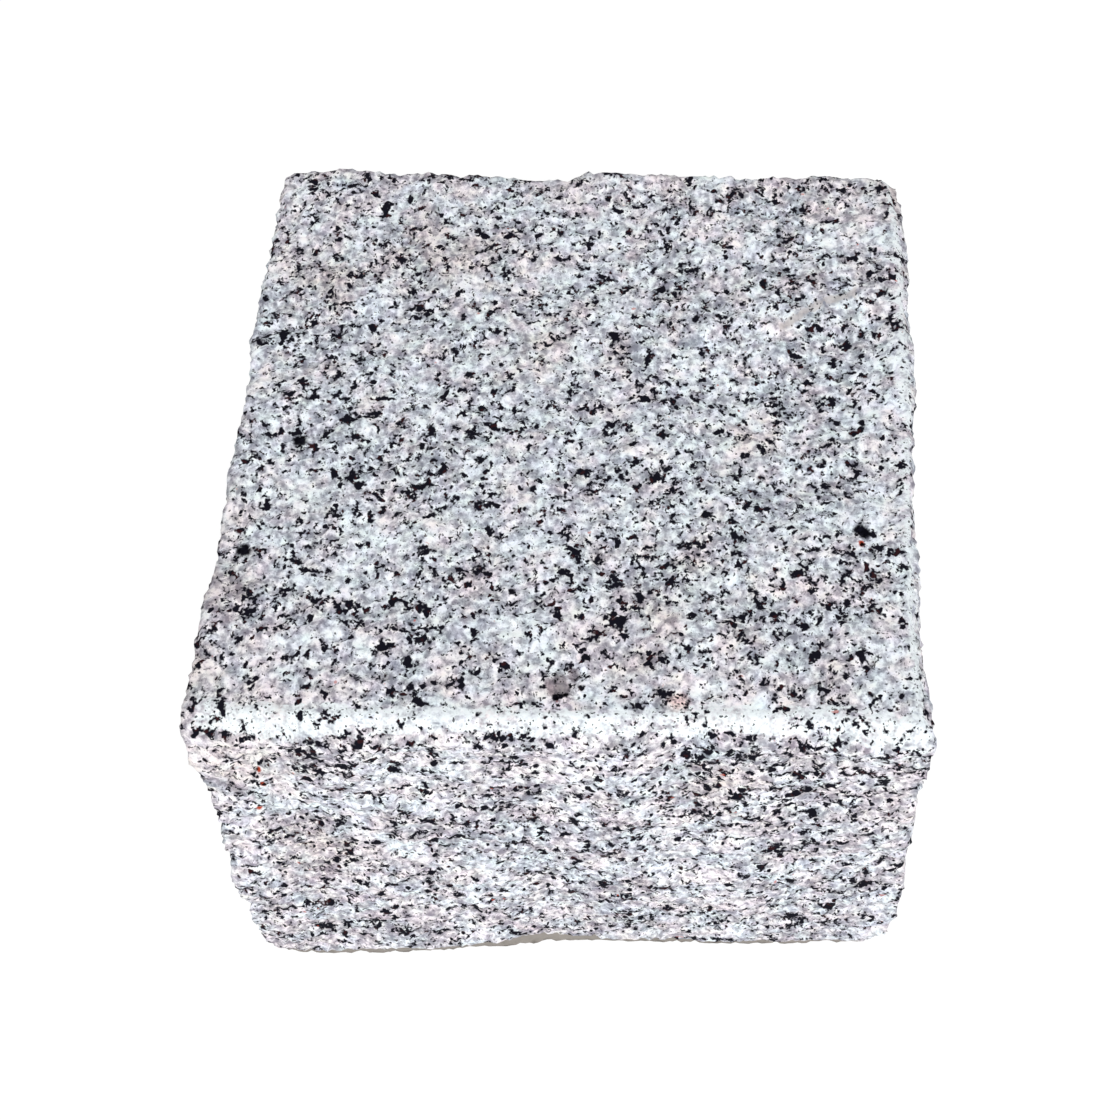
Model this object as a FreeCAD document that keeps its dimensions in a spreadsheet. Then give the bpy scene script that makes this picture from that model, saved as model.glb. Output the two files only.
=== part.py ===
"""Granite sett: a split paving block, modelled in millimetres.

X runs along the front face, Y from front to back and Z up. The origin is the middle of the bed,
the flat underside that the sett lies on. The four sides and the head are riven: they were split
and not sawn, so each one swells and hollows in long shallow waves, is scalloped where flakes came
away, and meets its neighbours in crooked arrises. The front and right arrises of the head are
crushed, and three corners are chipped.
"""
import FreeCAD, Part
import os
from enum import IntEnum

import Sketcher

NODE = "granite_sett"

# Driving dimensions in millimetres, phases of the waves in degrees, and one plain ratio
SIZES = {
    "width": 101.3,
    "depth": 103.9,
    "height": 76.0,
    "left_taper": 2.4,
    "front_batter": 4.8,
    "side_wave_rise": 98.0,
    "front_wave": 1.2,
    "front_wave_length": 78.0,
    "front_phase": 253.0,
    "front_cross_phase": 56.0,
    "right_wave": 1.8,
    "right_wave_length": 108.0,
    "right_phase": 99.0,
    "right_cross_phase": 224.0,
    "back_wave": 1.4,
    "back_wave_length": 59.0,
    "back_phase": 79.0,
    "back_cross_phase": 193.0,
    "left_wave": 0.8,
    "left_wave_length": 94.0,
    "left_phase": 65.0,
    "left_cross_phase": 275.0,
    "head_wave": 0.9,
    "head_wave_length": 64.0,
    "head_phase": 20.0,
    "head_cross_phase": 320.0,
    "front_arris": 3.0,
    "right_arris": 1.8,
    "plain_arris": 0.8,
    "over_cut": 5.0,
    "right_foot_along": 1.5,
    "right_foot_back": 2.0,
    "right_foot_up": 4.0,
    "left_foot_along": 2.8,
    "left_foot_back": 2.5,
    "left_foot_up": 4.0,
    "right_head_along": 3.0,
    "right_head_back": 3.0,
    "right_head_up": 3.5,
    "chip_flatness": 2.0,
    "scallop_reach": 13.0,
    "scallop_depth": 0.8,
}

SECTIONS = 5  # outlines that the sides are lofted through, from the bed up
HEAD_LINES = 5  # lines that the head is lofted through, from front to back
POLES = 7  # control points along each riven line
DEGREE = 3  # of every riven line

# A second, shorter wave crosses the first on each face: its turns for each turn of the first
CROSS_RUN = 2.1
CROSS_RISE = 1.6

# Scallops where flakes came away: the face, the place along it from -0.5 to 0.5, the place up a side
# from 0 to 1 or towards the back of the head from -0.5 to 0.5, and the growth on the usual size
SCALLOPS = {
    "front_hollow": ("front", -0.12, 0.70, 1.1),
    "front_belly": ("front", 0.26, 0.45, 1.4),
    "front_foot": ("front", 0.06, 0.00, 1.0),
    "right_brow": ("right", -0.14, 0.88, 1.2),
    "right_belly": ("right", 0.30, 0.42, 1.4),
    "right_notch": ("right", -0.50, 0.60, 1.2),
    "right_foot_flake": ("right", 0.04, 0.05, 1.2),
    "back_brow": ("back", -0.08, 0.93, 1.1),
    "back_belly": ("back", 0.34, 0.50, 1.4),
    "back_foot": ("back", -0.34, 0.04, 1.2),
    "left_notch": ("left", -0.50, 0.70, 1.1),
    "left_brow": ("left", 0.00, 0.90, 1.2),
    "left_belly": ("left", -0.22, 0.45, 1.4),
    "left_foot_flake": ("left", 0.36, 0.05, 1.2),
    "head_ledge": ("head", 0.35, 0.06, 1.2),
}

# Each side: the size it runs along, the size it stands half of away, and its outward way
SIDES = {
    "front": ("width", "depth", -1),
    "right": ("depth", "width", 1),
    "back": ("width", "depth", 1),
    "left": ("depth", "width", -1),
}
ROUND_THE_BLOCK = {"front": 1, "right": 1, "back": -1, "left": -1}  # the way each side is drawn

BLANK_HEIGHT = "(dims.height + dims.over_cut)"  # the sides run on above the head, which trims them

ORIGIN = (-1, 1)  # a sketch's own origin: its number and its point number


class Point(IntEnum):
    """The numbers that a sketch gives to a curve's start and end, and to a circle's centre."""

    START = 1
    END = 2
    CENTRE = 3


def share(index, count):
    """Where the index-th of count even stations lies along a face, from -0.5 to 0.5."""
    return index / (count - 1) - 0.5


def swell(face, run, rise):
    """Two crossing waves on a face, as an expression, from their counts of turns along and across."""
    first = f"sin(360 * ({run} + {rise}) + dims.{face}_phase)"
    second = f"sin(360 * ({CROSS_RUN} * {run} - {CROSS_RISE} * {rise}) + dims.{face}_cross_phase)"
    return f"dims.{face}_wave * ({first} + {second}) / 2"


def lean(side, along, level):
    """How far a side's plane stands in from its nominal place, as an expression."""
    if side == "front":
        return f"dims.front_batter * {(along + 0.5) * (1 - level):.4f}"
    if side == "left":
        return f"dims.left_taper * {along + 0.5:.4f}"
    return "0"


def face_place(side, along, level):
    """The coordinate of a riven side at one station, as an expression."""
    length, across, way = SIDES[side]
    run = f"({along:.4f} * dims.{length} / dims.{side}_wave_length)"
    rise = f"({level:.4f} * {BLANK_HEIGHT} / dims.side_wave_rise)"
    bulge = swell(side, run, rise)
    return f"{way} * (dims.{across} / 2 + {bulge} - {lean(side, along, level)})"


def corner_place(cheek, face, level):
    """The x and y of a vertical arris, where a left or right cheek meets the front or back face."""
    cheek_end = 0.5 * SIDES[face][2]
    face_end = 0.5 * SIDES[cheek][2]
    return face_place(cheek, cheek_end, level), face_place(face, face_end, level)


def head_place(x, y):
    """The height of the riven head over one place, as an expression."""
    run = f"({x} / dims.head_wave_length)"
    rise = f"({y} / dims.head_wave_length)"
    return f"dims.height + {swell('head', run, rise)}"


def side_poles(side, level):
    """The x and y of each control point along one side, as expressions."""
    length = SIDES[side][0]
    along_x = length == "width"
    poles = []
    for index in range(1, POLES - 1):
        along = share(index, POLES)
        place = f"{along:.4f} * dims.{length}"
        face = face_place(side, along, level)
        poles.append((place, face) if along_x else (face, place))
    if along_x:
        ends = [corner_place(cheek, side, level) for cheek in ("left", "right")]
    else:
        ends = [corner_place(side, face, level) for face in ("front", "back")]
    return [ends[0], *poles, ends[1]]


def add_sheet(doc):
    """The spreadsheet that holds every driving dimension."""
    sheet = doc.addObject("Spreadsheet::Sheet", "dims")
    for row, (name, value) in enumerate(SIZES.items(), 1):
        sheet.set(f"A{row}", name)
        sheet.set(f"B{row}", str(value))
        sheet.setAlias(f"B{row}", name)
    doc.recompute()
    return sheet


def add_on_plane(body, kind, name, role):
    """A new feature of the body, attached to one of its origin planes."""
    feature = body.newObject(kind, name)
    plane = [plane for plane in body.Origin.OriginFeatures if plane.Role == role][0]
    feature.AttachmentSupport = [(plane, "")]
    feature.MapMode = "FlatFace"
    return feature


def add_sketch(body, name, role, offset):
    """A sketch parallel to an origin plane, moved along its normal by an expression."""
    sketch = add_on_plane(body, "Sketcher::SketchObject", name, role)
    sketch.setExpression("AttachmentOffset.Base.z", offset)
    return sketch


def point_at(sketch, place):
    """The point that a pair of expressions gives now."""
    return FreeCAD.Vector(*(sketch.evalExpression(value) for value in place), 0)


def bind_points(sketch, points):
    """Holds points of the sketch, each a curve's number and a point number, at pairs of expressions."""
    constraints = []
    values = []
    for geometry, point, place in points:
        for kind, value in zip(("DistanceX", "DistanceY"), place):
            now = sketch.evalExpression(value)
            constraints.append(Sketcher.Constraint(kind, *ORIGIN, geometry, point, now))
            values.append(value)
    for number, value in zip(sketch.addConstraint(constraints), values):
        sketch.setExpression(f"Constraints[{number}]", value)


def add_spline(sketch, poles):
    """A clamped spline whose control points, all but the last, are held at pairs of expressions."""
    spans = len(poles) - DEGREE
    knots = [index / spans for index in range(spans + 1)]
    counts = [DEGREE + 1] + [1] * (spans - 1) + [DEGREE + 1]
    curve = Part.BSplineCurve()
    curve.buildFromPolesMultsKnots([point_at(sketch, pole) for pole in poles], counts, knots, False, DEGREE)
    number = sketch.addGeometry(curve)
    sketch.exposeInternalGeometry(number)
    bind_points(sketch, [(number + 1 + index, Point.CENTRE, pole) for index, pole in enumerate(poles[:-1])])
    return number


def add_line(sketch, start, end):
    """A straight line whose start is held at a pair of expressions."""
    number = sketch.addGeometry(Part.LineSegment(point_at(sketch, start), point_at(sketch, end)))
    bind_points(sketch, [(number, Point.START, start)])
    return number


def close_loop(sketch, curves):
    """Joins the end of each curve to the start of the next one round."""
    for curve, following in zip(curves, curves[1:] + curves[:1]):
        sketch.addConstraint(Sketcher.Constraint("Coincident", curve, Point.END, following, Point.START))


def add_outline(body, index):
    """One level outline of the block: four riven lines that meet at the corners."""
    level = share(index, SECTIONS) + 0.5
    sketch = add_sketch(body, f"outline_{index}", "XY_Plane", f"{level:.4f} * {BLANK_HEIGHT}")
    curves = [add_spline(sketch, side_poles(side, level)[::way]) for side, way in ROUND_THE_BLOCK.items()]
    close_loop(sketch, curves)
    return sketch


def add_head_line(body, index):
    """One upright section of the waste above the head, whose lower edge is the riven head."""
    toward_back = share(index, HEAD_LINES)
    span = "(dims.depth + 2 * dims.over_cut)"
    reach = "(dims.width / 2 + dims.over_cut)"
    ceiling = f"({BLANK_HEIGHT} + dims.over_cut)"
    sketch = add_sketch(body, f"head_line_{index}", "XZ_Plane", f"{-toward_back:.4f} * {span}")
    places = [f"{2 * share(pole, POLES):.4f} * {reach}" for pole in range(POLES)]
    poles = [(place, head_place(place, f"{toward_back:.4f} * {span}")) for place in places]
    top_right = (reach, ceiling)
    top_left = (f"-1 * {reach}", ceiling)
    curves = [
        add_spline(sketch, poles),
        add_line(sketch, poles[-1], top_right),
        add_line(sketch, top_right, top_left),
        add_line(sketch, top_left, poles[0]),
    ]
    close_loop(sketch, curves)
    return sketch


def add_loft(body, kind, name, sketches):
    """A smooth loft through the sketches in order."""
    loft = body.newObject(f"PartDesign::{kind}", name)
    loft.Profile = sketches[0]
    loft.Sections = sketches[1:]
    loft.Ruled = False
    return loft


def head_arris(shape, sheet, side):
    """The name of the edge where a side meets the head."""
    _, across, way = SIDES[side]
    out = way * sheet.getPropertyByName(across) / 2
    place = (0, out) if across == "depth" else (out, 0)
    middle = FreeCAD.Vector(*place, sheet.getPropertyByName("height"))
    edges = enumerate(shape.Edges, 1)
    number, _ = min(edges, key=lambda item: (item[1].CenterOfMass - middle).Length)
    return f"Edge{number}"


def add_arris(body, sheet, name, sides):
    """A broken arris: a slanting facet along the edges where the sides meet the head."""
    base = body.Tip
    chamfer = body.newObject("PartDesign::Chamfer", name)
    chamfer.Base = (base, [head_arris(base.Shape, sheet, side) for side in sides])
    chamfer.setExpression("Size", f"dims.{name}")
    body.Document.recompute()


def add_bite(body, shape, name, middle, radii):
    """The cut of a ball or an ellipsoid, from its middle and its radii as expressions."""
    bite = add_on_plane(body, f"PartDesign::Subtractive{shape}", name, "XY_Plane")
    for axis, place in zip("xyz", middle):
        bite.setExpression(f"AttachmentOffset.Base.{axis}", place)
    for radius, size in radii.items():
        bite.setExpression(radius, size)
    body.Document.recompute()


def add_chip(body, name, cheek, face, at_head):
    """A flake off a corner: the bite of an ellipsoid whose middle stands outside the corner.

    Its surface passes through the three edges of the corner at the three distances of the chip.
    """
    level, up_place, up_way = (1, "dims.height", 1) if at_head else (0, "0", -1)
    corner = (*corner_place(cheek, face, level), up_place)
    ways = (SIDES[cheek][2], SIDES[face][2], up_way)
    stretch = "sqrt((1 + dims.chip_flatness)^2 + 2 * dims.chip_flatness^2)"
    sizes = [f"dims.{name}_{reach}" for reach in ("along", "back", "up")]
    outward = zip(corner, ways, sizes)
    middle = [f"{place} + {way} * dims.chip_flatness * {size}" for place, way, size in outward]
    radii = zip(("Radius2", "Radius3", "Radius1"), [f"{size} * {stretch}" for size in sizes])
    add_bite(body, "Ellipsoid", f"{name}_chip", middle, dict(radii))


def add_scallop(body, name, face, along, across, growth):
    """A round shallow dish in a face: the bite of a large ball whose middle stands outside the face."""
    reach = f"({growth} * dims.scallop_reach)"
    depth = f"({growth} * dims.scallop_depth)"
    radius = f"({reach}^2 + {depth}^2) / (2 * {depth})"
    away = f"({radius} - {depth})"
    if face == "head":
        place = (f"{along} * dims.width", f"{across} * dims.depth")
        middle = (*place, f"{head_place(*place)} + {away}")
    else:
        length, _, way = SIDES[face]
        run = f"{along} * dims.{length}"
        out = f"{face_place(face, along, across)} + {way} * {away}"
        up = f"{across} * {BLANK_HEIGHT}"
        middle = (run, out, up) if length == "width" else (out, run, up)
    add_bite(body, "Sphere", f"{name}_scallop", middle, {"Radius": radius})


def check(doc, shape):
    """Stops the build if any object failed or the block is not one sound solid."""
    failed = [item.Name for item in doc.Objects if {"Invalid", "Error"} & set(item.State)]
    if failed:
        raise RuntimeError(f"failed to recompute: {failed}")
    if shape.isNull() or not shape.isValid() or len(shape.Solids) != 1:
        raise RuntimeError("the block is not one sound solid")


def main():
    doc = FreeCAD.newDocument(NODE)
    sheet = add_sheet(doc)
    body = doc.addObject("PartDesign::Body", NODE)
    body.Label = NODE
    outlines = [add_outline(body, index) for index in range(SECTIONS)]
    add_loft(body, "AdditiveLoft", "riven_sides", outlines)
    head_lines = [add_head_line(body, index) for index in range(HEAD_LINES)]
    add_loft(body, "SubtractiveLoft", "riven_head", head_lines)
    doc.recompute()
    add_arris(body, sheet, "front_arris", ["front"])
    add_arris(body, sheet, "right_arris", ["right"])
    add_arris(body, sheet, "plain_arris", ["back", "left"])
    add_chip(body, "right_foot", "right", "front", at_head=False)
    add_chip(body, "left_foot", "left", "front", at_head=False)
    add_chip(body, "right_head", "right", "back", at_head=True)
    for name, place in SCALLOPS.items():
        add_scallop(body, name, *place)
    check(doc, body.Shape)
    os.makedirs("parts", exist_ok=True)
    body.Shape.exportStep(f"parts/{body.Label}.step")


main()
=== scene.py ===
"""A split granite sett, lying on its bed on a pale studio floor.

The stone is one closed surface. Six grids that cover the sett's box are drawn along their radii
onto the sett's solid, and are then roughened with the relief of riven granite. The granite is made
of noises in three dimensions, so its grains run through from one face to the next. Lengths are in
metres, unless a comment or a docstring says millimetres, and places are in the sett's own frame.
"""

import math

import bpy
import numpy as np
from bpy.props import FloatProperty, FloatVectorProperty, IntProperty, PointerProperty
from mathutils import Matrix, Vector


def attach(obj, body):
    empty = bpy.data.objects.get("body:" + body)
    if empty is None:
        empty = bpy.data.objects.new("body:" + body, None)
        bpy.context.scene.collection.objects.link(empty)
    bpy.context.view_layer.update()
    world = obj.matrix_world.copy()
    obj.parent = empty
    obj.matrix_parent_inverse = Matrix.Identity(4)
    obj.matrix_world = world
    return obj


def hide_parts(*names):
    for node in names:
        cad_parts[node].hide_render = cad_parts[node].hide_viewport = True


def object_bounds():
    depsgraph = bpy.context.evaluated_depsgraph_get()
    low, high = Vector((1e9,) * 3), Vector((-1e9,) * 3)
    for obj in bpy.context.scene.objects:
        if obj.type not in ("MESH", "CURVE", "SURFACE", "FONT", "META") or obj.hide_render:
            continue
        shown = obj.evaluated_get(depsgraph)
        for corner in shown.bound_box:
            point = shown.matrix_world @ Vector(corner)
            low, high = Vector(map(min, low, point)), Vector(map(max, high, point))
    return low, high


bl_info = {
    "name": "Granite Sett",
    "version": (1, 0, 0),
    "blender": (4, 5, 0),
    "location": "View3D > Sidebar > Granite Sett",
    "description": "Builds a split granite sett with riven faces and crushed arrises",
    "category": "Add Mesh",
}

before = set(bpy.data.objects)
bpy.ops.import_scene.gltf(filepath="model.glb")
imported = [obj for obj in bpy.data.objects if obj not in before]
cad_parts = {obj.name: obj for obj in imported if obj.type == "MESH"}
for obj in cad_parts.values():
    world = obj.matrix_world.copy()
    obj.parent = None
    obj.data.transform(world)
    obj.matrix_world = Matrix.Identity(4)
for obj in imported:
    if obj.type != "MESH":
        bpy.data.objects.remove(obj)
CAD_LOW, CAD_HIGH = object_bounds()

NODE = "granite_sett"
BODY = "root"
MILLIMETRE = 0.001
DIAGONAL = math.sqrt(0.5)
NOISE_MIDDLE = 0.5
WHITE = (1.0, 1.0, 1.0)

# Single swellings and hollows of the split faces: place, breadth and height in millimetres
SWELLINGS = {
    "swelling under the left notch": ((-50.5, -50.5, 27.0), 8.0, 0.7),
    "hollow in the left front arris": ((-51.0, -50.5, 40.0), 5.0, -0.9),
    "hollow by the left foot": ((-50.5, -50.5, 23.0), 4.0, -0.9),
    "swelling of the left front corner": ((-51.0, -50.5, 66.0), 7.0, 0.8),
    "hollow of the left head corner": ((-51.5, -49.5, 75.0), 4.0, -0.6),
    "swelling of the left brow": ((-49.5, -7.6, 74.5), 6.5, 1.3),
    "hollow in the left brow": ((-49.0, -22.0, 75.0), 5.0, -0.5),
    "swelling before that hollow": ((-50.5, -33.0, 74.5), 5.0, 0.6),
    "swelling of the back left corner": ((-42.0, 52.0, 75.0), 8.0, 0.7),
    "swelling of the back brow": ((-23.0, 52.0, 75.0), 7.0, 0.4),
    "swelling beside it": ((-14.0, 52.5, 75.0), 4.0, 0.6),
    "knob of the back brow": ((4.0, 52.0, 75.0), 5.0, 1.1),
    "swelling of the back right brow": ((40.0, 52.5, 75.0), 4.0, 0.6),
    "hollow in the back right corner": ((45.8, 51.5, 75.0), 5.0, -0.8),
    "swelling of the right brow": ((51.0, 8.0, 75.0), 6.0, 0.5),
    "swelling behind it": ((51.5, 17.0, 75.0), 6.0, 0.7),
    "hollow in the right front corner": ((50.5, -50.5, 64.0), 5.0, -0.5),
    "swelling of the right front arris": ((50.0, -50.5, 43.0), 8.0, 1.1),
    "swelling of the right foot": ((49.0, -49.0, 12.0), 6.0, 0.6),
}

# Rises of the painted contact shadow, a grey-brown strip along the foot of the front: middle, breadth
# and height in millimetres
FOOT_SHADOW_RISES = {
    "rise before the middle": (-7.0, 8.0, 1.9),
    "rise at the left": (-29.0, 12.0, 1.1),
    "rise at the right": (24.0, 14.0, 0.4),
}

# Ledges on the head, each with its step down towards the front: start, end and height in millimetres
LEDGES = {
    "long ledge": ((17.0, 16.5), (46.0, 25.0), 0.50),
    "ledge before the long ledge": ((24.0, 11.0), (39.0, 18.5), 0.35),
    "ledge in the middle": ((-22.0, 12.5), (-6.0, 19.5), 0.50),
    "ledge at the left": ((-44.0, 2.0), (-30.0, 8.0), 0.40),
    "ledge at the right": ((26.0, -12.0), (44.0, -4.0), 0.35),
}

# Painted light and shade along ledges of the head, as bare or flecked bands: a bare band is a painted
# highlight on a lit riser, a flecked one painted shadow; start, end and half width in millimetres, and
# bareness of flecks
LEDGE_LIGHT_STREAKS = {
    "bare streak on the long ledge": ((31.8, 20.4), (43.0, 26.8), 0.7, 1.0),
    "flecked streak before the long ledge": ((24.8, 17.0), (35.1, 18.8), 0.6, -0.8),
    "flecked streak on the middle ledge": ((-20.5, 13.2), (-12.0, 17.0), 0.7, -1.0),
}

# Patches of the head and the front, partly painted light and shade of the broad relief and partly uneven
# flecking: place and reach in millimetres, and bareness of flecks
SHADE_AND_FLECK_PATCHES = {
    "dark patch in the middle": ((14.5, -10.0, 76.0), 6.0, -0.35),
    "dark patch before it": ((11.5, -25.0, 76.0), 7.0, -0.35),
    "dark patch at the right": ((38.0, -28.0, 76.0), 7.0, -0.35),
    "dark patch behind it": ((31.5, 2.5, 76.0), 6.0, -0.25),
    "pale patch in the middle": ((-6.5, -13.0, 76.0), 6.0, 0.3),
    "pale patch at the right": ((30.0, 14.0, 76.0), 6.0, 0.25),
    "bare left edge": ((-51.0, -12.0, 74.0), 4.0, 0.6),
    "bare left edge further forward": ((-52.0, -30.0, 73.0), 5.0, 0.6),
    "pale patch on the front": ((-12.0, -51.0, 67.0), 7.0, 0.5),
    "dark patch on the front": ((24.0, -51.0, 63.0), 13.0, -0.15),
}

# Warm stains on the head and the front: place and reach in millimetres
WARM_STAINS = {
    "back left": ((-21.0, 33.0, 76.0), 8.0),
    "further left": ((-39.0, 28.5, 76.0), 5.0),
    "middle of the head": ((-5.0, 15.0, 76.0), 5.0),
    "right of the middle": ((26.0, -0.7, 76.0), 4.0),
    "top of the pale streak": ((17.8, -25.0, 76.0), 3.0),
    "middle of the pale streak": ((15.0, -32.0, 76.0), 3.5),
    "foot of the pale streak": ((12.0, -39.0, 76.0), 3.0),
    "back right corner": ((50.0, 48.0, 75.0), 5.0),
    "left edge": ((-50.0, -14.0, 74.5), 5.0),
    "left edge further forward": ((-51.0, -28.0, 73.5), 6.0),
    "front end of the left edge": ((-52.0, -43.0, 73.0), 6.0),
    "left front corner": ((-43.0, -51.0, 66.0), 8.0),
    "left of the front": ((-37.0, -51.0, 39.0), 7.0),
    "right of the front": ((22.0, -51.0, 62.5), 5.0),
}

# How much a distance along x, y and z counts for a grain on each face: little through the face
FACE_WEIGHTS = {"head": (1.0, 1.0, 0.05), "front": (1.0, 0.05, 0.7)}

# Single grains that stand out from the rest: face, mineral, place and radius in millimetres
SINGLE_GRAINS = {
    "black grain at the left": ("head", "mica", (-39.4, -2.5, 76.2), 1.6),
    "black grain at the left edge": ("head", "mica", (-45.2, -22.5, 76.2), 1.6),
    "black grain at the right": ("head", "mica", (42.0, -18.1, 76.2), 1.5),
    "rusty grain at the right": ("head", "rust", (41.9, -20.2, 76.2), 0.65),
    "brown knot": ("head", "brown", (0.4, -43.9, 76.2), 2.8),
    "knob of the brown knot": ("head", "brown", (2.4, -41.8, 76.2), 1.3),
    "smoky middle of the brown knot": ("head", "smoky", (0.9, -44.2, 76.2), 1.8),
    "black foot of the brown knot": ("head", "mica", (0.0, -45.7, 76.2), 0.7),
    "black side of the brown knot": ("head", "mica", (1.4, -45.0, 76.2), 0.6),
    "pink grain": ("head", "pink", (16.4, -45.9, 76.0), 2.0),
    "upper rusty grain": ("front", "rust", (-41.4, -51.3, 63.9), 0.45),
    "middle rusty grain": ("front", "rust", (-41.5, -51.3, 59.7), 0.6),
    "lower rusty grain": ("front", "rust", (-43.3, -51.3, 52.2), 0.7),
}

# Colours of the mottle, from the darkest quartz to the whitest feldspar, over the tone of the noise
MOTTLE = (
    (0.330, (0.279, 0.275, 0.327)),
    (0.388, (0.370, 0.367, 0.420)),
    (0.432, (0.467, 0.466, 0.522)),
    (0.482, (0.595, 0.598, 0.655)),
    (0.533, (0.738, 0.745, 0.802)),
    (0.582, (0.882, 0.893, 0.948)),
    (0.645, (0.962, 0.970, 1.000)),
)

# Shader noises: detail, roughness, and an offset in millimetres that sets each apart from the others
NOISES = {
    "drift": (0.0, 0.5, 97.0),
    "stir": (1.0, 0.5, 0.0),
    "grit": (1.0, 0.5, 19.0),
    "grain": (3.0, 0.62, 0.0),
    "cloud": (2.0, 0.5, 31.0),
    "warmth": (2.0, 0.5, 57.0),
    "border": (2.0, 0.6, 47.0),
    "mica": (2.0, 0.62, 83.0),
    "fleck": (2.0, 0.62, 131.0),
    "cluster": (1.0, 0.5, 11.0),
    "red": (0.0, 0.5, 5.0),
    "rust": (0.0, 0.5, 71.0),
}

# Where each mask of the granite starts and where it is full, over the value that it reads
MASKS = {
    "warmth": (0.42, 0.74),
    "crush": (0.5, 0.85),
    # The streak mask shapes the painted highlight along the lit ledge risers.
    "streak": (0.4, 0.9),
    "flake": (0.572, 0.654),
    "speck": (0.665, 0.705),
    "red": (0.66, 0.71),
    "rust": (0.86, 0.91),
    # The foot mask lays the painted contact shadow along the foot of the front.
    "foot": (0.35, 0.65),
}

# Sockets of a Vector Math node beside its first, and the rays that see the background as white
VECTOR_SOCKETS = {"by": 1, "plus": 2, "scale": "Scale"}
SEEING_RAYS = ("Camera", "Glossy", "Transmission")


def length(name, description, millimetres):
    """A length property whose default is given in millimetres."""
    return FloatProperty(
        name=name, description=description, default=millimetres * MILLIMETRE, unit="LENGTH", precision=5
    )


def colour(name, description, red, green, blue):
    """A colour property."""
    return FloatVectorProperty(
        name=name, description=description, default=(red, green, blue), subtype="COLOR", min=0.0, max=1.0
    )


class RivenRelief(bpy.types.PropertyGroup):
    """Sizes of the roughness of the split faces."""

    spacing: length("Spacing", "Distance between neighbouring points of the surface", 0.74)
    terrace_size: length("Terrace size", "Breadth of the shallow terraces that a split leaves", 13.0)
    terrace_height: length("Terrace height", "Height of the step from one terrace to the next", 0.20)
    pluck_size: length("Pluck size", "Breadth of the hollows where a few grains were plucked out", 3.4)
    pluck_height: length("Pluck height", "Depth of the plucked hollows", 0.42)
    grain_size: length("Grain size", "Breadth of the single grains that stand out", 1.3)
    grain_height: length("Grain height", "How far single grains stand out", 0.44)
    crush_grain: length("Crush grain", "Roughness that is left on a crushed arris", 0.16)
    seed: IntProperty(name="Seed", description="Start of the random lattice", default=7, min=0)


class GraniteLook(bpy.types.PropertyGroup):
    """Colours and grain sizes of the granite."""

    cool: colour("Cool", "Tint of the bluish feldspar", 0.945, 1.0, 1.0)
    warm: colour("Warm", "Tint of the faintly pink feldspar", 1.0, 0.935, 0.915)
    mica: colour("Mica", "Black mica flecks", 0.0066, 0.0064, 0.0115)
    red_mica: colour("Red mica", "Dark red flecks among the black ones", 0.028, 0.009, 0.011)
    rust: colour("Rust", "Rusty grains", 0.50, 0.075, 0.035)
    pink: colour("Pink", "Pink feldspar", 1.0, 0.82, 0.77)
    brown: colour("Brown", "Brown knots", 0.55, 0.49, 0.49)
    smoky: colour("Smoky", "Smoky quartz in the brown knots", 0.60, 0.63, 0.64)
    stain: colour("Stain", "Tint of the warm stains", 0.93, 0.90, 0.855)
    # Painted highlight: this pale brownish colour stands for the lit risers of the ledges.
    lit_riser_beige: colour("Beige", "Bare streaks along the riser of a ledge", 0.44, 0.395, 0.385)
    crushed: colour("Crushed", "Crushed stone along an arris", 0.84, 0.90, 0.92)
    # Painted shadow: this grey-brown colour stands for the contact shadow along the foot of the front.
    foot: colour("Foot", "Dusty strip along the foot of the front", 0.31, 0.285, 0.26)
    grain_size: length("Grain size", "Breadth of the feldspar and quartz grains", 1.15)
    mica_size: length("Mica size", "Breadth of the larger mica flecks", 1.5)
    fleck_size: length("Fleck size", "Breadth of the smaller mica flecks", 0.9)
    grit_size: length("Grit size", "Breadth of the finest grit and specks", 0.6)
    cluster_size: length("Cluster size", "Breadth of the clusters that the flecks gather in", 2.3)
    cloud_size: length("Cloud size", "Breadth of the paler and darker clouds", 8.0)
    warmth_size: length("Warmth size", "Breadth of the cool and the warm zones", 4.5)
    border_size: length("Border size", "Breadth of the rags along the crushed arrises", 1.6)
    stir_size: length("Stir size", "Breadth of the lumps that fray the grains", 2.2)
    drift_size: length("Drift size", "Breadth of the waver of the grain", 12.0)
    red_size: length("Red size", "Breadth of the spots where mica is dark red", 1.0)
    rust_size: length("Rust size", "Breadth of the scattered rusty spots", 1.1)


class StudioStage(bpy.types.PropertyGroup):
    """The floor, the light and the camera."""

    camera_place: FloatVectorProperty(
        name="Camera place", description="Where the camera stands", subtype="TRANSLATION",
        default=(0.014718, -0.173285, 0.298202),
    )
    camera_turn: FloatVectorProperty(
        name="Camera turn", description="How the camera is turned", subtype="EULER",
        default=(math.radians(34.02), math.radians(2.291), math.radians(2.309)),
    )
    lens: FloatProperty(name="Lens", description="Focal length on a 36 mm sensor, in mm", default=61.58)
    sky: FloatProperty(name="Sky", description="Strength of the even light from all round", default=0.56)
    key: FloatProperty(name="Key", description="Power of the front lamp", default=19.0, unit="POWER")
    lamp_place: FloatVectorProperty(
        name="Lamp place", description="Where the front lamp hangs", subtype="TRANSLATION",
        default=(0.3, -1.2, 1.15),
    )
    lamp_size: length("Lamp size", "Side of the square front lamp", 900.0)
    floor: colour("Floor", "Pale floor", 0.86, 0.86, 0.86)


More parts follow.
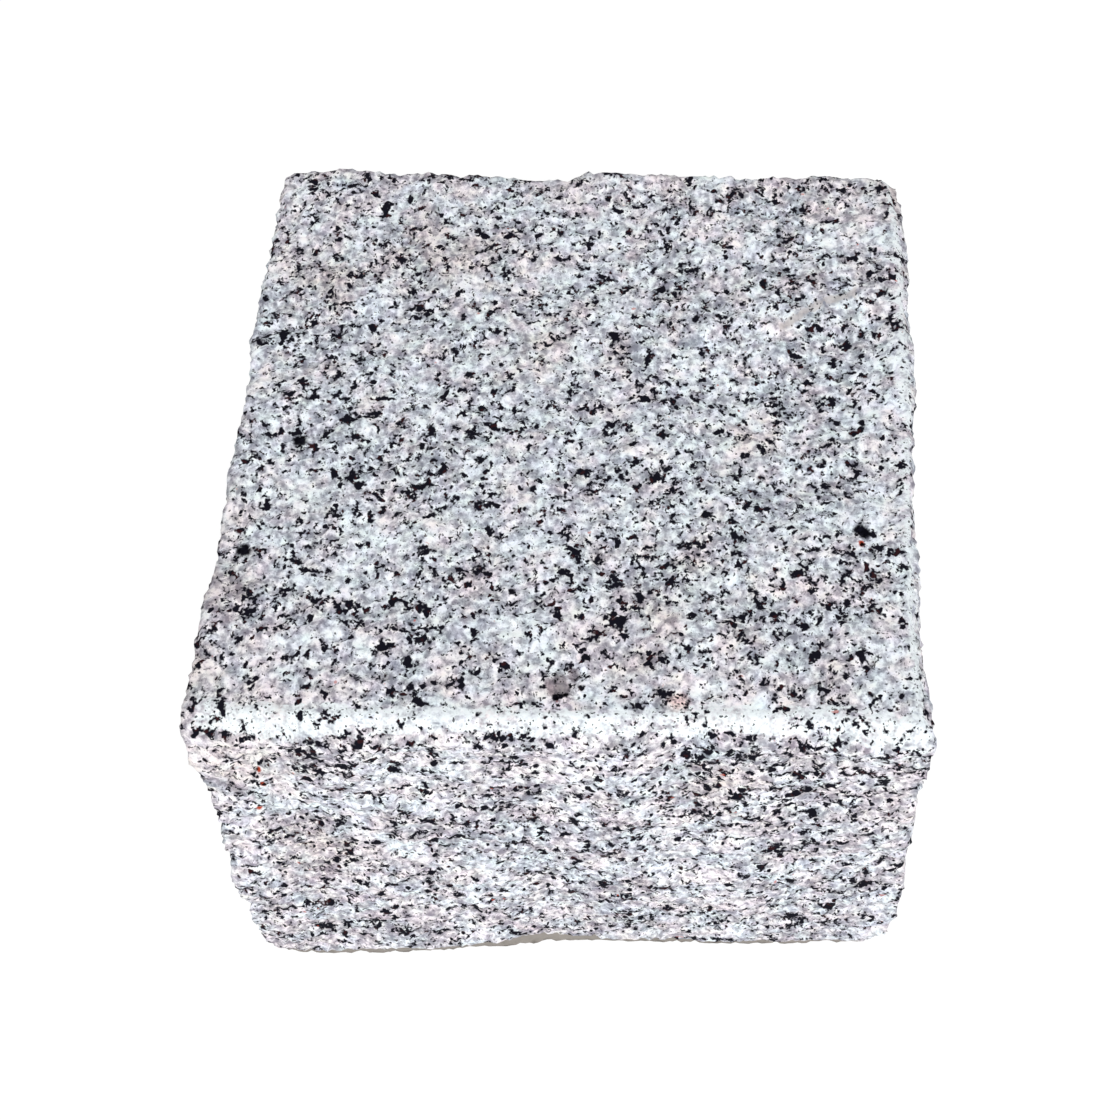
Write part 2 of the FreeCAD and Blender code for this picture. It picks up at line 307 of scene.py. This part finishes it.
class Socket:
    """One output of a shader node. Arithmetic on it adds Math nodes to the same tree."""

    def __init__(self, tree, output=None):
        self.tree = tree
        self.output = output

    def node(self, kind, settings=None, sockets=None, output=0):
        """Adds a node: its settings are set first, and then its sockets get values or links."""
        made = self.tree.nodes.new(kind)
        for name, value in (settings or {}).items():
            if name == "stops":
                fill_ramp(made.color_ramp, value)
            else:
                setattr(made, name, value)
        for name, value in (sockets or {}).items():
            if isinstance(value, Socket):
                self.tree.links.new(value.output, made.inputs[name])
            else:
                made.inputs[name].default_value = value
        return Socket(self.tree, made.outputs[output] if made.outputs else None)

    def math(self, operation, other):
        """Maths on this socket and another socket or number."""
        return self.node("ShaderNodeMath", {"operation": operation}, {0: self, 1: other})

    def __add__(self, other):
        return self.math("ADD", other)

    __radd__ = __add__

    def __sub__(self, other):
        return self.math("SUBTRACT", other)

    def __rsub__(self, other):
        return self.node("ShaderNodeMath", {"operation": "SUBTRACT"}, {0: other, 1: self})

    def __mul__(self, other):
        return self.math("MULTIPLY", other)

    __rmul__ = __mul__

    def above(self, low, high):
        """A smooth step from 0 at low to 1 at high; it falls instead where high is the smaller."""
        settings = {"interpolation_type": "SMOOTHSTEP"}
        rising = high > low
        ends = {"From Min": min(low, high), "From Max": max(low, high)}
        ends.update({"To Min": 0.0 if rising else 1.0, "To Max": 1.0 if rising else 0.0})
        return self.node("ShaderNodeMapRange", settings, {"Value": self, **ends})

    def mix(self, first, second, blend="MIX"):
        """Blends two colours, with this socket as the share of the second."""
        sockets = {0: self, 6: opaque(first), 7: opaque(second)}
        return self.node("ShaderNodeMix", {"data_type": "RGBA", "blend_type": blend}, sockets, output=2)

    def vector(self, operation, output=0, **sockets):
        """Vector maths on this socket."""
        inputs = {0: self}
        inputs.update({VECTOR_SOCKETS[name]: value for name, value in sockets.items()})
        return self.node("ShaderNodeVectorMath", {"operation": operation}, inputs, output=output)


def opaque(value):
    """A colour with its alpha, or a socket as it is."""
    return value if isinstance(value, Socket) else (*value, 1.0)


def fill_ramp(ramp, stops):
    """Gives a colour ramp its stops, each a place and a colour."""
    while len(ramp.elements) < len(stops):
        ramp.elements.new(1.0)
    for element, (place, shade) in zip(ramp.elements, stops):
        element.position = place
        element.color = opaque(shade)


def cleared_tree(owner):
    """The start of the emptied node tree of a material or a world."""
    owner.use_nodes = True
    owner.node_tree.nodes.clear()
    return Socket(owner.node_tree)


def add_object(name, data):
    """A new object in the scene."""
    made = bpy.data.objects.new(name, data)
    bpy.context.scene.collection.objects.link(made)
    return made


def lattice_noise(points, cell, seed):
    """Gradient noise in three dimensions, from about -1 to 1.

    Every corner of a cubic lattice holds a random slope. A point takes the heights that the slopes
    of the eight corners of its cell give there, blended by a quintic ease along each axis.
    """
    period = 64
    gain = 1.6
    slopes = np.random.default_rng(seed).normal(size=(period, period, period, 3))
    slopes /= np.linalg.norm(slopes, axis=-1, keepdims=True)
    scaled = points / cell
    corner = np.floor(scaled).astype(int)
    inside = scaled - corner
    ease = inside ** 3 * (inside * (inside * 6 - 15) + 10)
    total = np.zeros(len(points))
    for offset in np.ndindex(2, 2, 2):
        step = np.array(offset)
        slope = slopes[tuple(((corner + step) % period).T)]
        height = np.einsum("ij,ij->i", slope, inside - step)
        total += height * np.where(step, ease, 1 - ease).prod(axis=1)
    return total * gain


def rough_noise(points, cell, seed, octaves=3, fade=0.5):
    """A sum of gradient noises, each half the cell and a share of the height of the one before."""
    turns = range(octaves)
    return sum(fade ** turn * lattice_noise(points, cell / 2 ** turn, seed + turn) for turn in turns)


def smooth_step(values, low, high):
    """A smooth step from 0 at low to 1 at high, which may be the smaller of the two."""
    share = np.clip((values - low) / (high - low), 0, 1)
    return share * share * (3 - 2 * share)


def terraced(values):
    """The values drawn together into level terraces with short risers between them."""
    riser_start = 0.55
    level = np.floor(values)
    return level + smooth_step(values - level, riser_start, 1.0)


def bell(points, middle, reach):
    """A bell round a place: 1 there, and 1 divided by e at its reach, both given in millimetres."""
    away = np.linalg.norm(points / MILLIMETRE - np.array(middle), axis=1)
    return np.exp(-(away / reach) ** 2)


def shell_grid(counts):
    """The surface of a lattice box of those counts of cells: its points, from 0 to 1, and its quads.

    Each of the six sides is a grid of two parameters. Points on shared edges are shared, so the
    surface is closed, and the quads are wound to face outwards.
    """
    shape = tuple(count + 1 for count in counts)
    place = np.indices(shape)
    last = np.array(counts).reshape(3, 1, 1, 1)
    on_shell = ((place == 0) | (place == last)).any(axis=0)
    number = np.full(shape, -1)
    number[on_shell] = np.arange(on_shell.sum())
    points = np.argwhere(on_shell) / np.array(counts)
    quads = []
    for axis in range(3):
        for end, turn in ((0, -1), (-1, 1)):
            side = np.take(number, end, axis=axis)
            loop = np.stack([side[:-1, :-1], side[1:, :-1], side[1:, 1:], side[:-1, 1:]], axis=-1)
            winding = -turn if axis == 1 else turn
            quads.append(loop.reshape(-1, 4)[:, ::winding])
    return points, np.concatenate(quads)


def make_mesh(name, points, quads):
    """A mesh of quads from whole arrays."""
    mesh = bpy.data.meshes.new(name)
    mesh.vertices.add(len(points))
    mesh.vertices.foreach_set("co", points.astype(np.float32).ravel())
    mesh.loops.add(quads.size)
    mesh.loops.foreach_set("vertex_index", quads.astype(np.int32).ravel())
    mesh.polygons.add(len(quads))
    mesh.polygons.foreach_set("loop_start", np.arange(0, quads.size, 4, dtype=np.int32))
    mesh.update(calc_edges=True)
    return mesh


def read_vectors(items, field):
    """One vector field of a mesh's items as an array of rows."""
    values = np.empty(len(items) * 3, np.float32)
    items.foreach_get(field, values)
    return values.reshape(-1, 3).astype(float)


def draw_onto_solid(points, quads, middle):
    """The points carried out from the middle, each along its radius, onto the sett's solid.

    A small ball takes the place of the grid, because a ball's normals are its radii, and the ball
    is thrown outwards along its normals.
    """
    ball_radius = 5 * MILLIMETRE
    rays = points - middle
    rays /= np.linalg.norm(rays, axis=1, keepdims=True)
    ball = add_object("ball", make_mesh("ball", middle + ball_radius * rays, quads))
    wrap = ball.modifiers.new("throw", "SHRINKWRAP")
    wrap.wrap_method = "PROJECT"
    wrap.use_positive_direction = True
    wrap.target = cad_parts[NODE]
    thrown = ball.evaluated_get(bpy.context.evaluated_depsgraph_get()).to_mesh()
    drawn = read_vectors(thrown.vertices, "co")
    normals = read_vectors(thrown.vertices, "normal")
    bpy.data.objects.remove(ball)
    if np.linalg.norm(drawn - middle, axis=1).min() < 2 * ball_radius:
        raise RuntimeError("a point of the ball missed the solid")
    return drawn, normals


def evened(values, quads):
    """The values of the points, each made the mean of its quads' means."""
    corners = quads.ravel()
    means = values[quads].mean(axis=1)
    return np.bincount(corners, weights=np.repeat(means, 4)) / np.bincount(corners)


def arris_distance(points, facing, along, out):
    """Distance across an arris of the head, in millimetres, from its middle line and down the side.

    The middle line is the mean place, in short bins along the arris, of the points that face its way.
    """
    bin_size = 2 * MILLIMETRE
    least_weight = 0.5
    start = points[:, along].min()
    bins = np.floor((points[:, along] - start) / bin_size).astype(int)
    weights = np.bincount(bins, weights=facing)
    filled = weights > least_weight
    middles = (np.flatnonzero(filled) + 0.5) * bin_size + start
    across = np.zeros(len(points))
    for axis, way in out.items():
        line = np.bincount(bins, weights=facing * points[:, axis])[filled] / weights[filled]
        across += way * (points[:, axis] - np.interp(points[:, along], middles, line))
    return across * DIAGONAL / MILLIMETRE


def crushed_share(points, normals, quads, top):
    """How crushed the stone is at each point: 1 on the broken front and right arrises of the head.

    Each arris is crushed in a band between an upper and a lower edge, in millimetres across it. The
    lower edge of the front band drops towards both ends, and the band fades out at the corners.
    """
    head_zone = (7.0, 5.0)
    head_depth = 8.0
    front_turn = (0.80, 0.90)
    right_turn = (0.82, 0.92)
    front_upper_edge = (-3.9, -2.5)
    right_upper_edge = (-1.9, -1.1)
    front_lower_edge = 0.6
    front_drop = 1.0
    drop_zone = (20.0, 40.0)
    corner_zone = (50.5, 47.0)
    blur = (-0.4, 0.4)
    depth = (top - points[:, 2]) / MILLIMETRE
    off_middle = np.abs(points[:, 0]) / MILLIMETRE
    near_head = smooth_step(depth, *head_zone)
    front_facing = near_head * smooth_step(normals @ np.array([0, -DIAGONAL, DIAGONAL]), *front_turn)
    right_facing = near_head * smooth_step(normals @ np.array([DIAGONAL, 0, DIAGONAL]), *right_turn)
    down_front = arris_distance(points, front_facing, 0, {1: -1, 2: -1})
    down_right = arris_distance(points, right_facing, 1, {0: 1, 2: -1})
    lower_edge = front_lower_edge + front_drop * smooth_step(off_middle, *drop_zone)
    front = smooth_step(down_front, *front_upper_edge) * smooth_step(lower_edge - down_front, *blur)
    front *= smooth_step(off_middle, *corner_zone)
    right = smooth_step(down_right, *right_upper_edge) * smooth_step(-down_right, *blur)
    return evened(np.maximum(front, right) * (depth < head_depth), quads)


def painted_foot_shadow(points, normals):
    """A painted contact shadow, a grey-brown strip along the foot of the front: 1 below a wavering
    height, and 0 above it.

    The height, in millimetres, is a plain one with a noise along the front and a bell for each rise.
    """
    plain_height = 1.0
    waver_height = 0.4
    waver_size = 6 * MILLIMETRE
    waver_seed = 57
    front_turn = (0.2, 0.5)
    blur = (-0.4, 0.4)
    along = points[:, 0] / MILLIMETRE
    waver = lattice_noise(points * np.array([1.0, 0.0, 0.0]), waver_size, waver_seed)
    height = plain_height + waver_height * waver
    for middle, breadth, rise in FOOT_SHADOW_RISES.values():
        height += rise * np.exp(-((along - middle) / breadth) ** 2)
    facing = smooth_step(-normals[:, 1], *front_turn)
    return facing * smooth_step(height - points[:, 2] / MILLIMETRE, *blur)


def swellings(points):
    """Single swellings and hollows: each a bell about its place."""
    total = np.zeros(len(points))
    for place, breadth, height in SWELLINGS.values():
        total += height * bell(points, place, breadth)
    return total * MILLIMETRE


def along_line(points, start, end, bend_height):
    """Where the points lie about a line on the head, in millimetres: across it, and beyond its ends.

    A slow noise bends the line.
    """
    bend_size = 7 * MILLIMETRE
    bend_seed = 91
    flat = points[:, :2] / MILLIMETRE - start
    run = np.array(end) - np.array(start)
    size = np.linalg.norm(run)
    along = flat @ (run / size)
    bend = bend_height * lattice_noise(points, bend_size, bend_seed)
    across = flat @ (np.array([-run[1], run[0]]) / size) + bend
    return across, np.maximum(np.maximum(-along, along - size), 0)


def ledges(points, normals):
    """Ledges on the head: the stone behind each line stands higher, and the one before it lower.

    The step is a smooth step across the line. It dies away to both sides and beyond both ends.
    """
    riser = 1.1
    reach = 6.0
    end_fade = 3.0
    bend_height = 2.2
    level_turn = (0.7, 0.9)
    total = np.zeros(len(points))
    for start, end, height in LEDGES.values():
        across, beyond = along_line(points, start, end, bend_height)
        step = smooth_step(across, -riser, riser) - 0.5
        total += height * step * np.exp(-(across / reach) ** 2 - (beyond / end_fade) ** 2)
    return total * MILLIMETRE * smooth_step(normals[:, 2], *level_turn)


def bareness_and_painted_light(points, normals):
    """How bare of flecks the stone is: above 0 where bare, below 0 where thick with them.

    Each ledge band is a bell across its line on the head: the bare one a painted highlight on a lit
    riser, the flecked ones painted shadow.
    The patches are bells round their middles, partly painted light and shade. The right face is barer
    than the rest, which is painted light from the right, and the front is barer at its foot than at its
    head.
    """
    bend_height = 0.7
    level_turn = (0.5, 0.8)
    right_turn = (0.3, 0.6)
    right_side_painted_light = 0.25
    front_turn = (0.5, 0.8)
    front_rise = (25.0, 60.0)
    foot_bareness = 0.06
    foot_to_head = -0.26
    # The bare ledge band is a painted highlight on a lit riser, the flecked ones painted shadow along a
    # ledge.
    on_ledge_light_streaks = np.zeros(len(points))
    for start, end, half_width, bareness in LEDGE_LIGHT_STREAKS.values():
        across, beyond = along_line(points, start, end, bend_height)
        on_ledge_light_streaks += bareness * np.exp(-(across / half_width) ** 2 - beyond ** 2)
    total = on_ledge_light_streaks * smooth_step(normals[:, 2], *level_turn)
    # The patches are partly painted light and shade of the broad relief, and partly the stone's uneven
    # flecking.
    for middle, reach, bareness in SHADE_AND_FLECK_PATCHES.values():
        total += bareness * bell(points, middle, reach)
    # Painted light: the right side is barer of flecks, so paler, as if lit from the right.
    total += right_side_painted_light * smooth_step(normals[:, 0], *right_turn)
    up_front = foot_bareness + foot_to_head * smooth_step(points[:, 2] / MILLIMETRE, *front_rise)
    return total + up_front * smooth_step(-normals[:, 1], *front_turn)


def warm_stains(points):
    """How warm the stone is stained: the highest of the bells round the middles of the stains."""
    return np.max([bell(points, middle, reach) for middle, reach in WARM_STAINS.values()], axis=0)


def riven_relief(points, normals, crushed, relief):
    """How far each point moves out along its normal: terraces, plucked hollows and single grains.

    Terraces are a noise drawn into levels, plucked hollows a noise folded inwards, and grains a fine
    noise. Crushed stone keeps little of them, and has a fine noise of its own.
    """
    flattening = np.array([1.0, 1.0, 1.7])
    terrace_levels = 2.6
    grain_fade = 0.7
    crush_wear = 0.8
    pluck_seed = relief.seed + 10
    grain_seed = relief.seed + 20
    crush_seed = relief.seed + 30
    swell = rough_noise(points * flattening, relief.terrace_size, relief.seed)
    terraces = terraced(terrace_levels * swell) * relief.terrace_height
    plucks = -relief.pluck_height * np.abs(rough_noise(points, relief.pluck_size, pluck_seed, octaves=2))
    fine = rough_noise(points, relief.grain_size, grain_seed, octaves=2, fade=grain_fade)
    grains = relief.grain_height * fine
    crush = relief.crush_grain * lattice_noise(points, relief.grain_size, crush_seed)
    rough = (terraces + plucks + grains) * (1 - crush_wear * crushed) + crush * crushed
    return rough + swellings(points) + ledges(points, normals)


def stone_mesh(relief):
    """The sett's whole surface, with its crushed, foot, bare and warm shares kept as attributes. The
    foot share is a painted contact shadow, and the bare share holds painted light and shade besides the
    bareness of flecks.

    Near the bed the relief only goes inwards, and no point goes below the floor.
    """
    bed_zone = (1.5 * MILLIMETRE, 0.2 * MILLIMETRE)
    low = np.array(CAD_LOW)
    high = np.array(CAD_HIGH)
    counts = np.round((high - low) / relief.spacing).astype(int)
    shell, quads = shell_grid(counts)
    points, normals = draw_onto_solid(low + shell * (high - low), quads, (low + high) / 2)
    crushed = crushed_share(points, normals, quads, high[2])
    shift = riven_relief(points, normals, crushed, relief)
    on_bed = smooth_step(points[:, 2], *bed_zone)
    shift = shift * (1 - on_bed) - np.abs(shift) * on_bed
    moved = points + normals * shift[:, None]
    moved[:, 2] = np.maximum(moved[:, 2], 0.0)
    mesh = make_mesh("sett_stone", moved, quads)
    mesh.polygons.foreach_set("use_smooth", np.ones(len(quads), bool))
    shares = {
        "crushed": crushed,
        # The foot share is a painted contact shadow, and the bare share holds painted light and shade
        # besides the bareness of flecks.
        "foot": painted_foot_shadow(points, normals),
        "bare": bareness_and_painted_light(points, normals),
        "warm": warm_stains(points),
    }
    for name, share in shares.items():
        mesh.attributes.new(name, "FLOAT", "POINT").data.foreach_set("value", share.astype(np.float32))
    return mesh


class GraniteLayers:
    """The layers of the granite's colour, one method each, and the places and noises that they share.

    Places are in millimetres. The grain is stretched a little and wavers with a slow drift.
    """

    def __init__(self, start, look):
        level = (1.0, 1.0, 0.0)
        drift_rise = (0.0, 0.0, 6.0)
        grain_stretch = (0.97, 0.92, 0.92)
        cloud_stretch = (1.0, 1.0, 1.05)
        fray = (0.8, 0.8, 0.8)
        self.start = start
        self.look = look
        coordinates = start.node("ShaderNodeTexCoord", output="Object")
        self.place = coordinates.vector("SCALE", scale=1 / MILLIMETRE)
        drift = self.noise("drift", self.place.vector("MULTIPLY", by=level), output="Color")
        wavering = drift.vector("MULTIPLY_ADD", by=drift_rise, plus=self.place)
        self.grain_place = wavering.vector("MULTIPLY", by=grain_stretch)
        self.cloud_place = self.place.vector("MULTIPLY", by=cloud_stretch)
        self.stirring = self.noise("stir", self.place, output="Color")
        self.grit = self.noise("grit", self.place)
        frayed = self.stirring.vector("MULTIPLY_ADD", by=fray, plus=self.grain_place)
        self.mottle = self.noise("grain", frayed)
        self.cloud = self.noise("cloud", self.cloud_place) - NOISE_MIDDLE

    def noise(self, kind, place, output="Fac"):
        """Shader noise from 0 to 1, whose lumps are about as broad as the look's size of that kind."""
        detail, roughness, offset = NOISES[kind]
        size = getattr(self.look, f"{kind}_size") / MILLIMETRE
        moved = place.vector("ADD", by=(offset, offset, offset)) if offset else place
        sockets = {"Vector": moved, "Scale": 1 / size, "Detail": detail, "Roughness": roughness}
        return place.node("ShaderNodeTexNoise", None, sockets, output=output)

    def share(self, name):
        """One of the stone's own attributes."""
        return self.start.node("ShaderNodeAttribute", {"attribute_name": name}, output="Fac")

    def feldspar(self):
        """Feldspar and quartz in a soft mottle, cool and warm, and warmer to the front and the back."""
        cloud_pull = 0.24
        end_warmth = 4e-5
        stain_warmth = 0.1
        stain_share = 0.8
        blush = (0.14, 0.14, 0.14)
        least_blush = (0.93, 0.93, 0.93)
        tone = self.mottle + self.cloud * cloud_pull
        grey = tone.node("ShaderNodeValToRGB", {"stops": MOTTLE}, {"Fac": tone})
        toward_back = self.place.node("ShaderNodeSeparateXYZ", None, {"Vector": self.place}, output="Y")
        warm = self.share("warm")
        at_ends = toward_back * toward_back * end_warmth
        warmth = self.noise("warmth", self.place) + at_ends + warm * stain_warmth
        tint = warmth.above(*MASKS["warmth"]).mix(self.look.cool, self.look.warm)
        blushing = self.stirring.vector("MULTIPLY_ADD", by=blush, plus=least_blush)
        pale = grey.vector("MULTIPLY", by=tint).vector("MULTIPLY", by=blushing)
        return (warm * stain_share).mix(pale, self.look.stain, blend="MULTIPLY")

    def crush(self):
        """Share of crushed stone along the arrises, with ragged borders."""
        raggedness = 2.6
        along_stretch = (0.5, 1.0, 1.0)
        border = self.noise("border", self.place.vector("MULTIPLY", by=along_stretch))
        return (self.share("crushed") + (border - NOISE_MIDDLE) * raggedness).above(*MASKS["crush"])

    def whitened(self, below, crush):
        """Crushed stone, which covers most where the grit is high."""
        grit_gain = 2.4
        grit_start = 0.5
        return (crush * (self.grit * grit_gain - grit_start)).mix(below, self.look.crushed)

    def painted_ledge_light(self, below, bare):
        """Painted highlight: a pale brownish colour along the lit risers of the ledges, where the stone
        is bare.
        """
        raggedness = 2.0
        lit_riser_share = 0.7
        streak = (bare + (self.mottle - NOISE_MIDDLE) * raggedness).above(*MASKS["streak"])
        return (streak * lit_riser_share).mix(below, self.look.lit_riser_beige)

    def mica(self, below, crush, bare):
        """Flakes and specks of mica, in loose clusters, fewer where the stone is crushed or bare."""
        cluster_pull = 0.37
        cloud_push = 0.16
        crush_push = 0.05
        bare_push = 0.07
        speck_share = 0.85
        large = self.noise("mica", self.grain_place)
        small = self.noise("fleck", self.grain_place)
        cluster = self.noise("cluster", self.cloud_place) - NOISE_MIDDLE
        kept_off = self.cloud * cloud_push + crush * crush_push + bare * bare_push
        gathered = cluster * cluster_pull - kept_off
        flakes = (large.math("MAXIMUM", small) + gathered).above(*MASKS["flake"])
        specks = self.grit.above(*MASKS["speck"]) * speck_share
        red = self.noise("red", self.place).above(*MASKS["red"])
        flake_colour = red.mix(self.look.mica, self.look.red_mica)
        return flakes.math("MAXIMUM", specks).mix(below, flake_colour)

    def rusty_spots(self, below):
        """A few scattered rusty spots."""
        rust_share = 0.6
        spots = self.noise("rust", self.place).above(*MASKS["rust"])
        return (spots * rust_share).mix(below, self.look.rust)

    def single_grains(self, below):
        """Single grains with ragged edges, each multiplied into the colour below it."""
        core = 0.45
        ragged = self.mottle - NOISE_MIDDLE
        for face, mineral, middle, radius in SINGLE_GRAINS.values():
            apart = self.place.vector("SUBTRACT", by=middle).vector("MULTIPLY", by=FACE_WEIGHTS[face])
            away = apart.vector("LENGTH", output="Value") + ragged * radius
            near = away.above(radius, core * radius)
            below = near.mix(below, getattr(self.look, mineral), blend="MULTIPLY")
        return below

    def laid(self):
        """The colour of all the layers, one over the other, with the painted contact shadow along the
        foot on top.
        """
        crush = self.crush()
        bare = self.share("bare")
        pale = self.painted_ledge_light(self.whitened(self.feldspar(), crush), bare)
        grained = self.single_grains(self.rusty_spots(self.mica(pale, crush, bare)))
        # On top lies the painted contact shadow along the foot of the front.
        return self.share("foot").above(*MASKS["foot"]).mix(grained, self.look.foot)


def granite_material(look):
    """Split granite: pale feldspar and grey quartz in a soft mottle, with flakes of black mica."""
    material = bpy.data.materials.new("split_granite")
    start = cleared_tree(material)
    layers = GraniteLayers(start, look)
    grit_bump = {"Height": layers.grit, "Strength": 0.35, "Distance": 0.3 * MILLIMETRE}
    bump = start.node("ShaderNodeBump", None, grit_bump)
    finish = {"Base Color": layers.laid(), "Roughness": 0.6, "Normal": bump, "Specular IOR Level": 0.02}
    surface = start.node("ShaderNodeBsdfPrincipled", None, finish)
    start.node("ShaderNodeOutputMaterial", None, {"Surface": surface})
    return material


class SETT_OT_lay_stone(bpy.types.Operator):
    """Builds the riven granite block in the place of its plain solid"""

    bl_idname = "sett.lay_stone"
    bl_label = "Lay Stone"

    def execute(self, context):
        piece = add_object("sett_stone", stone_mesh(context.scene.riven_relief))
        piece.data.materials.append(granite_material(context.scene.granite_look))
        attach(piece, BODY)
        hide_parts(NODE)
        return {"FINISHED"}


def seen_directly(start):
    """1 for rays that come straight from the camera, or through a gloss or a glass."""
    camera, glossy, through = [
        start.node("ShaderNodeLightPath", output=f"Is {kind} Ray") for kind in SEEING_RAYS
    ]
    return camera.math("MAXIMUM", glossy).math("MAXIMUM", through)


def floor_material(stage):
    """A pale floor that is white to the eye and still takes the sett's shadow.

    To the eye it is part glow and part a plain surface, and the shadow falls on that part.
    """
    brightness = 1.06
    shadow_share = 0.18
    material = bpy.data.materials.new("pale_floor")
    start = cleared_tree(material)
    plain = start.node("ShaderNodeBsdfDiffuse", None, {"Color": opaque(stage.floor)})
    catcher = start.node("ShaderNodeBsdfDiffuse", None, {"Color": opaque((shadow_share,) * 3)})
    light = {"Color": opaque(WHITE), "Strength": brightness - shadow_share}
    glow = start.node("ShaderNodeEmission", None, light)
    bright = start.node("ShaderNodeAddShader", None, {0: catcher, 1: glow})
    surface = start.node("ShaderNodeMixShader", None, {0: seen_directly(start), 1: plain, 2: bright})
    start.node("ShaderNodeOutputMaterial", None, {"Surface": surface})
    return material


def white_world(sky):
    """Even light from all round, behind which the camera sees plain white."""
    world = bpy.data.worlds.new("studio")
    start = cleared_tree(world)
    strength = sky + seen_directly(start) * (1.0 - sky)
    glow = start.node("ShaderNodeBackground", None, {"Color": opaque(WHITE), "Strength": strength})
    start.node("ShaderNodeOutputWorld", None, {"Surface": glow})
    return world


def add_floor(stage):
    """A level square floor that reaches far past the view."""
    reach = 30.0
    corners = reach * np.array([[-1, -1, 0], [1, -1, 0], [1, 1, 0], [-1, 1, 0]])
    floor = add_object("floor", make_mesh("floor", corners, np.array([[0, 1, 2, 3]])))
    floor.data.materials.append(floor_material(stage))


def add_lamp(stage):
    """A square soft lamp in front, which looks at the middle of the sett."""
    data = bpy.data.lights.new("front_lamp", "AREA")
    data.size = stage.lamp_size
    data.energy = stage.key
    lamp = add_object("front_lamp", data)
    lamp.location = stage.lamp_place
    aim = (CAD_LOW + CAD_HIGH) / 2 - lamp.location
    lamp.rotation_euler = aim.to_track_quat("-Z", "Y").to_euler()


def add_camera(stage):
    """The camera of the scene."""
    data = bpy.data.cameras.new("camera")
    data.lens = stage.lens
    data.sensor_width = 36.0
    data.clip_start = 0.01
    camera = add_object("camera", data)
    camera.location = stage.camera_place
    camera.rotation_euler = stage.camera_turn
    bpy.context.scene.camera = camera


class SETT_OT_set_stage(bpy.types.Operator):
    """Sets the floor, the light and the camera"""

    bl_idname = "sett.set_stage"
    bl_label = "Set Stage"

    def execute(self, context):
        stage = context.scene.studio_stage
        add_floor(stage)
        add_lamp(stage)
        add_camera(stage)
        context.scene.world = white_world(stage.sky)
        context.scene.view_settings.view_transform = "Standard"
        return {"FINISHED"}


class SETT_PT_sidebar(bpy.types.Panel):
    """Lists the steps and the sizes that can be changed"""

    bl_label = "Granite Sett"
    bl_idname = "SETT_PT_sidebar"
    bl_space_type = "VIEW_3D"
    bl_region_type = "UI"
    bl_category = "Granite Sett"

    def draw(self, context):
        for operator in OPERATORS:
            self.layout.operator(operator.bl_idname)
        for name, group in GROUPS.items():
            box = self.layout.box()
            for field in group.__annotations__:
                box.prop(getattr(context.scene, name), field)


GROUPS = {"riven_relief": RivenRelief, "granite_look": GraniteLook, "studio_stage": StudioStage}
OPERATORS = (SETT_OT_lay_stone, SETT_OT_set_stage)
CLASSES = (*GROUPS.values(), *OPERATORS, SETT_PT_sidebar)


def register():
    """Registers the classes and hangs the property groups on the scene."""
    for item in CLASSES:
        bpy.utils.register_class(item)
    for name, group in GROUPS.items():
        setattr(bpy.types.Scene, name, PointerProperty(type=group))


def unregister():
    """Undoes what register does, in reverse."""
    for name in GROUPS:
        delattr(bpy.types.Scene, name)
    for item in reversed(CLASSES):
        bpy.utils.unregister_class(item)


def main():
    register()
    bpy.ops.sett.lay_stone()
    bpy.ops.sett.set_stage()


if __name__ == "__main__":
    main()
